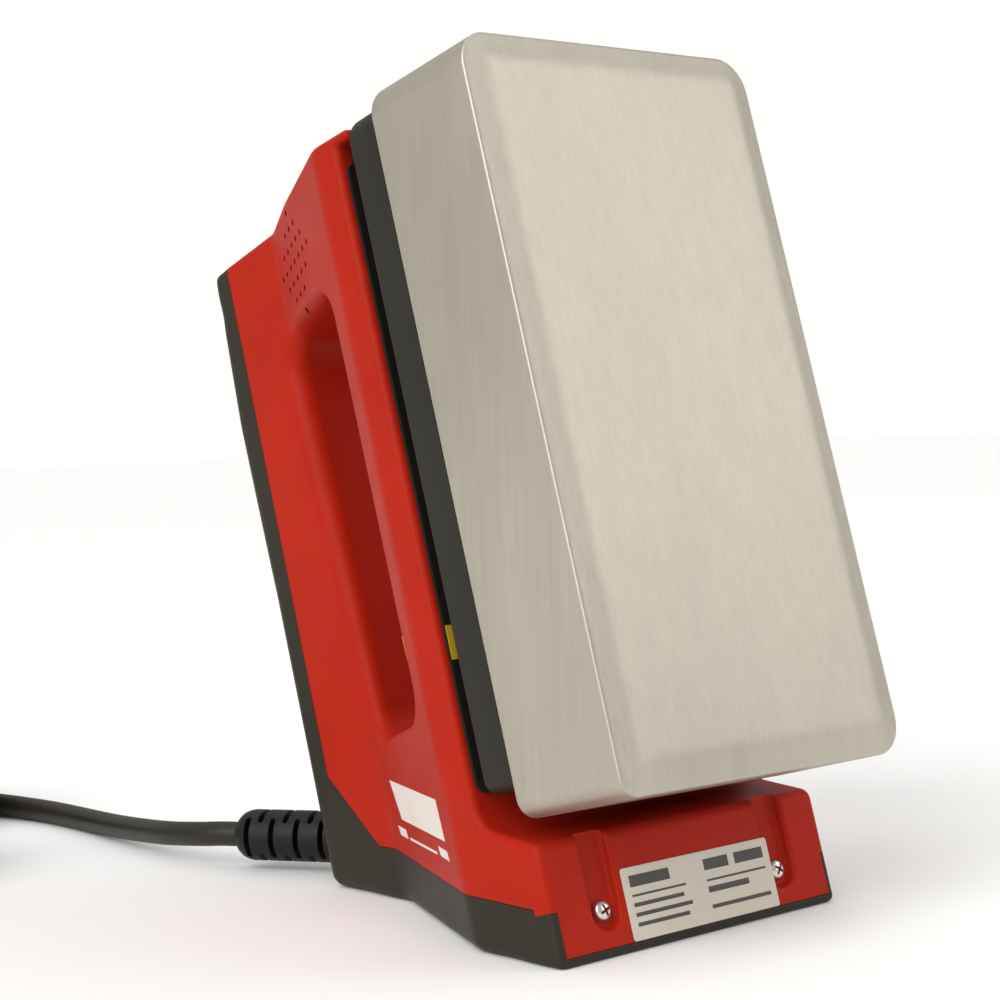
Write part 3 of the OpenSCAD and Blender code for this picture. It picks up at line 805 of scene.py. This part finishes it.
def foot_channels():
    """Slots for the two front screws: round at the bottom, open at the top, with soft edges."""
    steps = [
        (CHANNEL_FLOOR, -1.4), (CHANNEL_FLOOR - 0.3, -0.6), (CHANNEL_FLOOR - 0.9, -0.1),
        (FRONT_Y + 1.2, 0.0), (FRONT_Y + 0.7, 0.15), (FRONT_Y + 0.3, 0.5), (FRONT_Y + 0.08, 1.0),
        (FRONT_Y - 0.02, 1.7), (FRONT_Y - 1.5, 12.0)
    ]
    turn = np.linspace(math.pi, 2 * math.pi, 17)
    slots = []
    for side in (-1, 1):
        x = side * FOOT_SCREW_X
        rings = []
        for y, grow in steps:
            r = CHANNEL_HALF + grow
            flat = [(x + r * math.cos(a), FOOT_SCREW_Z + r * math.sin(a)) for a in turn]
            flat += [(x + r, CHANNEL_TOP), (x - r, CHANNEL_TOP)]
            rings.append([(px, y, pz) for px, pz in flat])
        slots.append(loft(rings))
        bore = [(SCREW_R + 0.05, CHANNEL_FLOOR - 1), (SCREW_R + 0.05, CHANNEL_FLOOR + 9)]
        slots.append(lathe_y(bore, (x, FOOT_SCREW_Z), 20))
    return joined(slots)


def back_holes():
    """Window, button and screw openings in the back of the cover."""
    gap = 0.1
    span = (WINDOW_Z - WINDOW_H / 2 - gap, WINDOW_Z + WINDOW_H / 2 + gap)
    steps = [(PARTING_Y + 1, 0), (BACK_Y - 1.0, 0), (BACK_Y + 2, -1.4)]
    holes = [loft([rect_ring(WINDOW_W + 2 * gap, span, 1.6, inset, y, 5) for y, inset in steps])]
    bore = BUTTON_R + 0.15
    profile = [(bore, PARTING_Y + 1), (bore, BACK_Y - 0.9), (bore + 0.85, BACK_Y + 1)]
    for i in (-1, 0, 1):
        holes.append(lathe_y(profile, (i * BUTTON_PITCH, BUTTON_Z), 40))
    for z in COVER_SCREW_Z:
        holes.append(lathe_y([(1.7, PARTING_Y - 1), (1.7, COVER_SEAT - 0.1)], (0, z), 24))
        holes.append(lathe_y([(3.4, COVER_SEAT), (3.4, BACK_Y + 0.1), (4.3, BACK_Y + 1.6)], (0, z), 40))
    return joined(holes)


def red_side(grow):
    """What lies on the red side of the parting line, moved out from it by grow."""
    ledge = CHANNEL_FLOOR + WALL + grow
    return [(20, -29.4 - grow), (30.6, -29.4 - grow), (ledge, -28.4 - grow), (ledge, -17.6 - grow),
            (57.9, -11 - grow), (116.5 + grow, 4.9 - grow), (PARTING_Y + grow, 25.4),
            (PARTING_Y + grow, 185), (20, 185)]


def side_tabs(grow):
    """The cover's black side tabs that reach the front edge of the foot."""
    return joined([block((side * 48 - 3.6 + grow, 20, -60), (side * 48 + 3.6 - grow, 35.7, -19 - grow))
                   for side in (-1, 1)])


def dress(piece, material, node, angle=32.0):
    """Gives a built piece its material and CAD node, and rides it on the iron."""
    piece.data.materials.clear()
    piece.data.materials.append(material)
    if angle:
        shade(piece, angle)
    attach(piece, BODY)
    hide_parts(node)
    return piece


def copy_of(thing, name):
    made = thing.copy()
    made.data = thing.data.copy()
    made.name = name
    bpy.context.scene.collection.objects.link(made)
    return made


def add_housing(red, black):
    """Both mouldings, cut from one skin along their parting line, hollow inside."""
    points, quads = skin(housing_field, (-48.0, 29.0, -33.5), (48.0, 142.5, 170.0), SKIN_STEP)
    whole = loose_mesh("whole", standing(points), quads)
    thin_out(whole, SKIN_SHARE)
    combine(whole, inner_space(), "DIFFERENCE")
    housing = whole
    cover = copy_of(whole, "back_cover_detail")
    housing.name = "main_housing_detail"
    upper = tool(prism_x(red_side(-SEAM), -60, 60))
    combine(upper, tool(side_tabs(0.0)), "DIFFERENCE")
    combine(housing, upper, "INTERSECT")
    lower = tool(prism_x(red_side(SEAM), -60, 60))
    combine(lower, tool(side_tabs(SEAM)), "DIFFERENCE")
    combine(cover, lower, "DIFFERENCE")
    combine(housing, tool(vent_holes()), "DIFFERENCE")
    combine(housing, tool(foot_channels()), "DIFFERENCE")
    combine(cover, tool(back_holes()), "DIFFERENCE")
    hole = lathe_y([(GUARD_BORE / 2, -GUARD_ROOT), (GUARD_BORE / 2, 12)], count=48)
    combine(cover, loose_mesh("tool", *along(hole, EXIT_AT, exit_direction())), "DIFFERENCE")
    dress(housing, red, "main_housing", angle=None)
    dress(cover, black, "back_cover", angle=None)
    for piece in (housing, cover):
        set_skin_normals(piece, housing_field)
    return housing, cover


# ---- plate, shield, label and small parts

def add_plate(material):
    """The bevelled base plate, its lower end a little out of square."""
    span = (0.0, PLATE_LEN)
    steps = [
        (PLATE_BACK, 0.7), (PLATE_BACK - 0.1, 0.3), (PLATE_BACK - 0.35, 0.08), (PLATE_BACK - 0.8, 0.0),
        (20.0, 0.0), (8.0, 0.0), (0.7, 0.0), (0.38, 0.03), (0.14, 0.14), (0.0, 0.32), (-0.1, 0.62),
        (-0.2, 1.1), (-0.6, 3.0), (-1.0, 4.7), (-1.22, 5.7), (-1.36, 6.5), (-1.44, 7.3),
        (-1.49, 8.2), (-1.5, 9.2), (-1.5, 11.0)
    ]
    rings = [rect_ring(PLATE_W, span, PLATE_RADII, inset, y, 10) for y, inset in steps]
    for ring in rings:
        share = np.clip(1 - ring[:, 2] / PLATE_LEN, 0, 1) ** 4
        sideways, depth = 0.5 - ring[:, 0] / PLATE_W, ring[:, 1] / PLATE_BACK
        ring[:, 2] += share * (LOW_SIDE_RISE * sideways + LOW_BACK_RISE * depth)
    return add_piece("sole_plate_detail", *in_standing(loft(rings)), material, "plate_metal", "sole_plate")


def add_shield(material):
    """The painted tray behind the plate, a little smaller at its back, open inside."""
    width = PLATE_W - 0.4
    steps = [(SHIELD_BACK - 1.2, 1.3), (PLATE_BACK, 1.3), (PLATE_BACK, 0.0), (SHIELD_BACK - 1.0, 0.25),
             (SHIELD_BACK - 0.5, 0.38), (SHIELD_BACK - 0.12, 0.75), (SHIELD_BACK, 1.35), (SHIELD_BACK, 2.4)]
    rings = [rect_ring(width, SHIELD_Z, SHIELD_RADII, inset, y, 10) for y, inset in steps]
    return add_piece("heat_shield_detail", *in_standing(loft(rings)), material, "shield_paint",
                     "heat_shield")


LABEL_BARS = [
    (-22.6, -17.4, 13.0, 2.6), (-22.6, -19.6, 17.6, 0.5), (-22.6, -21.9, 16.4, 0.9),
    (-22.6, -24.1, 18.6, 0.9), (-22.6, -26.3, 17.0, 0.9), (2.0, -17.4, 8.4, 2.6),
    (12.6, -17.4, 10.0, 2.6), (2.0, -20.0, 20.6, 0.5), (2.0, -22.6, 14.0, 1.4), (2.0, -26.3, 20.6, 0.9)
]


def add_label(paper, ink):
    """A blank rating label: plain bars and rules (x, z, width, height) stand where text would be."""
    top = FRONT_Y - 0.24
    rings = [rect_ring(LABEL_W, LABEL_Z, 0.7, inset, y, 5) + np.array([LABEL_X, 0, 0]) for y, inset in
             ((FRONT_Y - 0.02, 0.0), (FRONT_Y - 0.2, 0.0), (top, 0.06), (top, 1.0))]
    label = add_piece("rating_label_detail", *in_standing(loft(rings)), paper, "label_film", "rating_label")
    bars = [block((x + LABEL_X, top - 0.015, z), (x + LABEL_X + w, top + 0.02, z + h))
            for x, z, w, h in LABEL_BARS]
    add_piece("rating_label_bars", *in_standing(joined(bars)), ink, "label_film", smooth_angle=None)
    return label


MARK_BARS = [
    [(103, 20), (98.6, 9.7), (64.4, 1.5), (65.4, 11.4)],
    [(103.2, 8.6), (102.4, 6.2), (96.2, 4.6), (96.8, 7.0)],
    [(71, 1), (70.3, -1.4), (64, -3.2), (64.5, -0.8)],
    [(94.5, 4.9), (94.3, 4.2), (73, -0.9), (73.2, -0.2)],
]


def add_side_marks(ink):
    """Plain slanting bars printed on both side walls where the housing narrows."""
    slope = 1 / math.hypot(1, TAPER_SLOPE)
    shapes = []
    for side in (-1, 1):
        for bar in MARK_BARS:
            rings = []
            for out in (-0.1, 0.05):
                halves = [WIDE_HALF - (y - TAPER_FROM) * TAPER_SLOPE + out / slope for y, _ in bar]
                rings.append([(side * half, y, z) for half, (y, z) in zip(halves, bar)])
            shapes.append(loft(rings))
    return add_piece("side_marks_print", *in_standing(joined(shapes)), ink, "mark_print", "side_marks",
                     smooth_angle=None)


def grip_face(z):
    """Depth of the handle's inner face at height z."""
    (_, z0), (y1, _), (y2, z2) = OPENING[0], OPENING[1], OPENING[2]
    return y1 + (y2 - y1) * (z - z0) / (z2 - z0)


def add_patches(yellow):
    """A plain yellow patch inside the handle and one on the board behind the plate."""
    ring = [(grip_face(z) - out, z) for z, out in ((48.3, 0.15), (48.3, -0.3), (56, -0.3), (56, 0.15))]
    inner = prism_x(ring, -PATCH_HALF, PATCH_HALF)
    outer = block((-44.2, BOARD_FRONT - 0.15, 41), (-39, BOARD_FRONT + 0.1, 49))
    return add_piece("caution_patches_detail", *in_standing(joined([inner, outer])), yellow, "caution_film",
                     "caution_patches", smooth_angle=None)


def screw_head(r, y, at):
    """A domed head facing -Y, seated at y."""
    rise = 2.0
    dome = [(0.15, y - rise), (r * 0.45, y - rise * 0.97), (r * 0.75, y - rise * 0.82),
            (r * 0.93, y - rise * 0.55), (r, y - rise * 0.25), (r, y), (0.15, y)]
    return lathe_y(dome, at, 36)


def add_foot_screws(material):
    """The two screws of the foot, each with its cross recess turned its own way."""
    sites = [(side * FOOT_SCREW_X, FOOT_SCREW_Z) for side in (-1, 1)]
    heads = joined([screw_head(FOOT_HEAD_R, CHANNEL_FLOOR, s) for s in sites])
    screws = loose_mesh("foot_screws_detail", *in_standing(heads))
    for i, (x, z) in enumerate(sites):
        turn = math.radians(20 + 35 * i)
        for quarter in (0, math.pi / 2):
            c, s = math.cos(turn + quarter), math.sin(turn + quarter)
            verts, faces = block((-1.45, CHANNEL_FLOOR - 3, -0.32), (1.45, CHANNEL_FLOOR - 0.8, 0.32))
            spun = np.column_stack([x + verts[:, 0] * c - verts[:, 2] * s, verts[:, 1],
                                    z + verts[:, 0] * s + verts[:, 2] * c])
            combine(screws, tool((spun, faces)), "DIFFERENCE")
    shaft = [(SCREW_R, CHANNEL_FLOOR), (SCREW_R, CHANNEL_FLOOR + 9)]
    shafts = joined([lathe_y(shaft, s, 20) for s in sites])
    combine(screws, tool(shafts), "UNION")
    return dress(screws, material, "foot_screws")


def add_button(index, name, node, body, material, slot, mark):
    """A dished cap with its flange and stem, and a moulded plus or minus."""
    x = index * BUTTON_PITCH
    y, r, top = BACK_Y - WALL, BUTTON_R, BUTTON_TOP
    profile = [
        (0.2, top - 11), (1.5, top - 11), (1.5, y - 2), (r + 1, y - 2), (r + 1, y - 0.3), (r, y - 0.3),
        (r, top - 0.7), (r - 0.15, top - 0.25), (r - 0.5, top), (2.6, top - 0.08), (1.6, top - 0.26),
        (0.2, top - 0.34)
    ]
    verts, faces = lathe_y(profile, (x, BUTTON_Z), 48)
    parts = [(verts, faces)]
    for w, h in mark:
        low, high = BUTTON_Z - h / 2, BUTTON_Z + h / 2
        parts.append(block((x - w / 2, top - 0.45, low), (x + w / 2, top - 0.12, high)))
    return add_piece(name, *in_standing(joined(parts)), material, slot, node, body)


def add_window(lens):
    """The display's clear window, with a flange inside the cover."""
    y, low, high = BACK_Y - WALL, WINDOW_Z - WINDOW_H / 2, WINDOW_Z + WINDOW_H / 2
    flange = [rect_ring(WINDOW_W + 4, (low - 1.5, high + 1.5), 1.5, 0, at, 5) for at in (y - 1.4, y - 0.1)]
    steps = [(y - 0.1, 0), (BACK_Y - 0.9, 0), (BACK_Y - 0.55, 0.4), (BACK_Y - 0.45, 1.4)]
    pane = [rect_ring(WINDOW_W, (low, high), 1.5, inset, at, 5) for at, inset in steps]
    return add_piece("display_window_detail", *in_standing(loft(flange + pane)), lens, "lens_clear",
                     "display_window")


# ---- finishes

def plate_metal():
    """Satin metal: fine upright grain, soft handling stains, uneven gloss."""
    material, tree, shader = new_material("plate_satin")
    fine = add_noise(tree, 900.0, 4.0, (1.0, 1.0, 0.04))
    stains = add_noise(tree, 16.0, 5.0, (1.0, 1.0, 0.6), 0.62)
    streaks = add_noise(tree, 220.0, 4.0, (1.0, 1.0, 0.08))
    base = add_ramp(tree, stains, (0.46, 0.43, 0.358), (0.535, 0.50, 0.418), (0.3, 0.7))
    lines = add_ramp(tree, fine, (0.93, 0.93, 0.93), (1.0, 1.0, 1.0), (0.3, 0.7))
    bands = add_ramp(tree, streaks, (0.955, 0.955, 0.955), (1.0, 1.0, 1.0), (0.3, 0.7))
    toned = multiply_colours(tree, base, lines)
    toned = multiply_colours(tree, toned, bands)
    tree.links.new(toned, shader.inputs["Base Color"])
    shader.inputs["Metallic"].default_value = 0.85
    tree.links.new(add_range(tree, stains, 0.38, 0.52), shader.inputs["Roughness"])
    add_bump(tree, shader, fine, 0.00003)
    return material


def add_materials():
    steel = metal("bare_steel", (0.72, 0.72, 0.70), 0.28)
    return {
        "plate": plate_metal(),
        "red": plastic("housing_red", (0.38, 0.015, 0.0045), 0.42, specular=0.09),
        "black": plastic("cover_black", (0.025, 0.020, 0.013), 0.48, specular=0.2),
        "shield": plastic("shield_paint", (0.019, 0.017, 0.012), 0.46, 500.0, 0.00004, specular=0.2),
        "label": plastic("label_film", (0.58, 0.53, 0.45), 0.45, 1200.0, 0.00001, 0.02),
        "ink": plastic("label_ink", (0.05, 0.045, 0.04), 0.5, 1500.0, 0.00001, 0.1),
        "marks": plastic("mark_print", (0.72, 0.66, 0.60), 0.5, 1500.0, 0.00001, 0.05),
        "yellow": plastic("caution_film", (0.70, 0.45, 0.02), 0.45, 1200.0, 0.00001, 0.04),
        "bush": plastic("bush_black", (0.02, 0.02, 0.02), 0.6),
        "part": plastic("part_black", (0.02, 0.02, 0.022), 0.5),
        "cord": plastic("cord_black", (0.021, 0.018, 0.013), 0.42, 700.0, 0.00004, specular=0.28),
        "guard": plastic("guard_black", (0.011, 0.010, 0.008), 0.45, 700.0, 0.00004, specular=0.2),
        # The base board's near-black is partly its own dark plastic and partly painted shade for the gap
        # between the red flange and the shield.
        "base": plastic("base_black_with_painted_shade", (0.016, 0.014, 0.011), 0.6, specular=0.12),
        "plug": plastic("plug_black", (0.028, 0.026, 0.024), 0.48),
        "grey": plastic("button_grey", (0.55, 0.54, 0.50), 0.45),
        "button_red": plastic("button_red", (0.50, 0.035, 0.02), 0.42),
        "white": plastic("terminal_white", (0.75, 0.72, 0.64), 0.5),
        "ceramic": plastic("ceramic", (0.72, 0.69, 0.62), 0.35),
        "fibre": plastic("fibre_mat", (0.72, 0.70, 0.64), 0.9, 300.0, 0.0003, 0.12),
        "board": plastic("board_green", (0.03, 0.14, 0.06), 0.4, 300.0, 0.00003, 0.15),
        "lcd": plastic("lcd_grey", (0.20, 0.24, 0.21), 0.25),
        "wire": plastic("wire_sleeve", (0.60, 0.56, 0.48), 0.6, 400.0, 0.0001),
        "steel": steel,
        "element": metal("element_steel", (0.46, 0.43, 0.40), 0.4),
        "sink": metal("sink_metal", (0.62, 0.63, 0.64), 0.4, (1.0, 0.05, 1.0)),
        "contact": metal("contact_metal", (0.75, 0.73, 0.68), 0.25),
        "lens": lens_clear(),
        "glass": lens_clear("fuse_glass"),
    }


def lens_clear(name="lens_clear"):
    material, tree, shader = new_material(name)
    shader.inputs["Base Color"].default_value = (0.86, 0.92, 0.89, 1.0)
    shader.inputs["Transmission Weight"].default_value = 0.9
    smears = add_noise(tree, 90.0, 4.0)
    tree.links.new(add_range(tree, smears, 0.03, 0.14), shader.inputs["Roughness"])
    return material


# ---- making it all

add_camera()
paint = add_materials()
cord_piece, cord_exit, cord_length = add_cord(paint["cord"])
plug_piece, pins_piece = add_plug(paint["plug"], paint["contact"])
add_studio()

add_guard(paint["guard"])
add_housing(paint["red"], paint["black"])
add_plate(paint["plate"])
add_shield(paint["shield"])
add_label(paint["label"], paint["ink"])
add_side_marks(paint["marks"])
add_patches(paint["yellow"])
add_foot_screws(paint["steel"])
add_window(paint["lens"])
add_button(-1, "button_minus_detail", "button_minus", "button_minus_cap", paint["grey"], "button_grey",
           [(3.0, 0.7)])
add_button(0, "button_set_detail", "button_set", "button_set_cap", paint["button_red"], "button_red",
           [(1.3, 1.3)])
add_button(1, "button_plus_detail", "button_plus", "button_plus_cap", paint["grey"], "button_grey",
           [(3.0, 0.7), (0.7, 3.0)])

NODE_PAINT = {
    "element": ["heating_element"],
    "steel": ["element_clamps", "clamp_screws", "temperature_sensor", "plate_posts", "housing_screws",
              "cover_screws", "cord_clamp_screws"],
    "ceramic": ["thermal_cutout"],
    "fibre": ["insulation_mat"],
    "bush": ["spacer_bushes"],
    "lcd": ["display_module"],
    "board": ["control_board", "power_board"],
    # The base board gets the near-black that also paints the shade in the gap between flange and shield.
    "base": ["base_board"],
    "part": ["tact_switches", "beeper", "triac", "cord_clamp"],
    "wire": ["handle_harness", "element_leads"],
    "white": ["terminal_block"],
    "sink": ["heat_sink"],
    "glass": ["fuse"],
    "cord": ["inner_cord"],
    "contact": ["plug_earth_clips"],
}
for finish, names in NODE_PAINT.items():
    for name in names:
        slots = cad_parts[name].data.materials
        slots.clear()
        slots.append(paint[finish])
